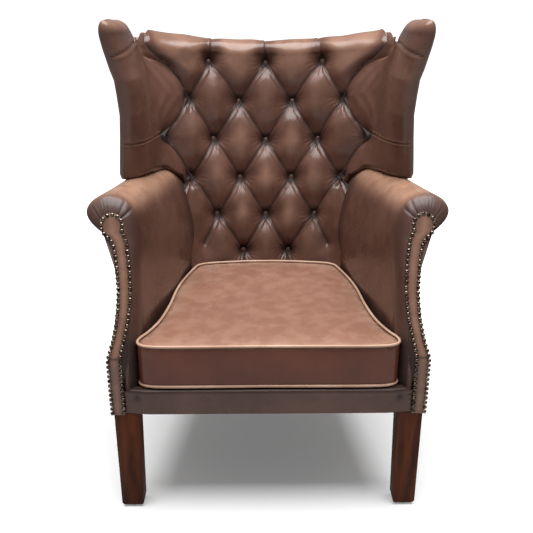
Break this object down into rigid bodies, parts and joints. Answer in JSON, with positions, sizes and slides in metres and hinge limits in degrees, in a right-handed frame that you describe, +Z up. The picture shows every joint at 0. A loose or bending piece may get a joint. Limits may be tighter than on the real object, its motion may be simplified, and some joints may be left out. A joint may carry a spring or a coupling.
{
  "type": "upholstered armchair",
  "caption": "Leather wing armchair with scroll arms, a deep-buttoned curved back, nail-trimmed arm fronts, tapered legs and a loose piped seat cushion.",
  "frame": {"origin": "on the floor, under the middle of the chair's width and depth", "axes": "+Z up; the sitter faces -Y; +X is to the right as seen from the front"},
  "size_m": [0.796, 0.7397, 1.078],
  "materials": {
    "leather": "semi-gloss aniline leather, brown, paler where it is worn",
    "seat_leather": "semi-gloss leather, worn paler on top than on its sides",
    "piping": "self-piping of the same leather, rubbed pale",
    "thread": "waxed upholstery thread",
    "nail_brass": "antiqued brass dome, dark with bright high spots",
    "walnut": "dark walnut stain, satin lacquer",
    "beech": "raw planed",
    "spring_steel": "drawn wire",
    "webbing": "woven jute and rubber",
    "deck_cloth": "plain woven platform cloth",
    "black_cambric": "spun cambric",
    "nylon": "moulded nylon"
  },
  "bodies": {
    "chair": {"front_leg_left": "walnut", "front_leg_right": "walnut", "rear_leg_left": "walnut", "rear_leg_right": "walnut", "front_glide_left": "nylon", "front_glide_right": "nylon", "rear_glide_left": "nylon", "rear_glide_right": "nylon", "front_rail": "beech", "back_rail": "beech", "side_rail_left": "beech", "side_rail_right": "beech", "front_corner_block_left": "beech", "front_corner_block_right": "beech", "rear_corner_block_left": "beech", "rear_corner_block_right": "beech", "arm_stump_left": "beech", "arm_stump_right": "beech", "arm_board_left": "beech", "arm_board_right": "beech", "back_post_left": "beech", "back_post_right": "beech", "top_rail": "beech", "lower_back_rail": "beech", "wing_frame_left": "beech", "wing_frame_right": "beech", "seat_spring_1": "spring_steel", "seat_spring_2": "spring_steel", "seat_spring_3": "spring_steel", "seat_spring_4": "spring_steel", "seat_spring_5": "spring_steel", "back_strap_1": "webbing", "back_strap_2": "webbing", "back_strap_3": "webbing", "back_strap_4": "webbing", "arm_pad_left": "leather", "arm_pad_right": "leather", "outside_arm_left": "leather", "outside_arm_right": "leather", "arm_facing_left": "leather", "arm_facing_right": "leather", "wing_pad_left": "leather", "wing_pad_right": "leather", "outside_wing_left": "leather", "outside_wing_right": "leather", "inside_back": "leather", "outside_back": "leather", "front_edge_roll": "leather", "rail_cover": "leather", "seat_deck": "deck_cloth", "dust_cover": "black_cambric"},
    "cushion": {"seat_cushion": "seat_leather"}
  },
  "joints": [
    {"name": "cushion_lift", "type": "slide", "parent": "chair", "child": "cushion", "axis": [0, -0.7071, 0.7071], "range_m": [0, 0.7]}
  ]
}
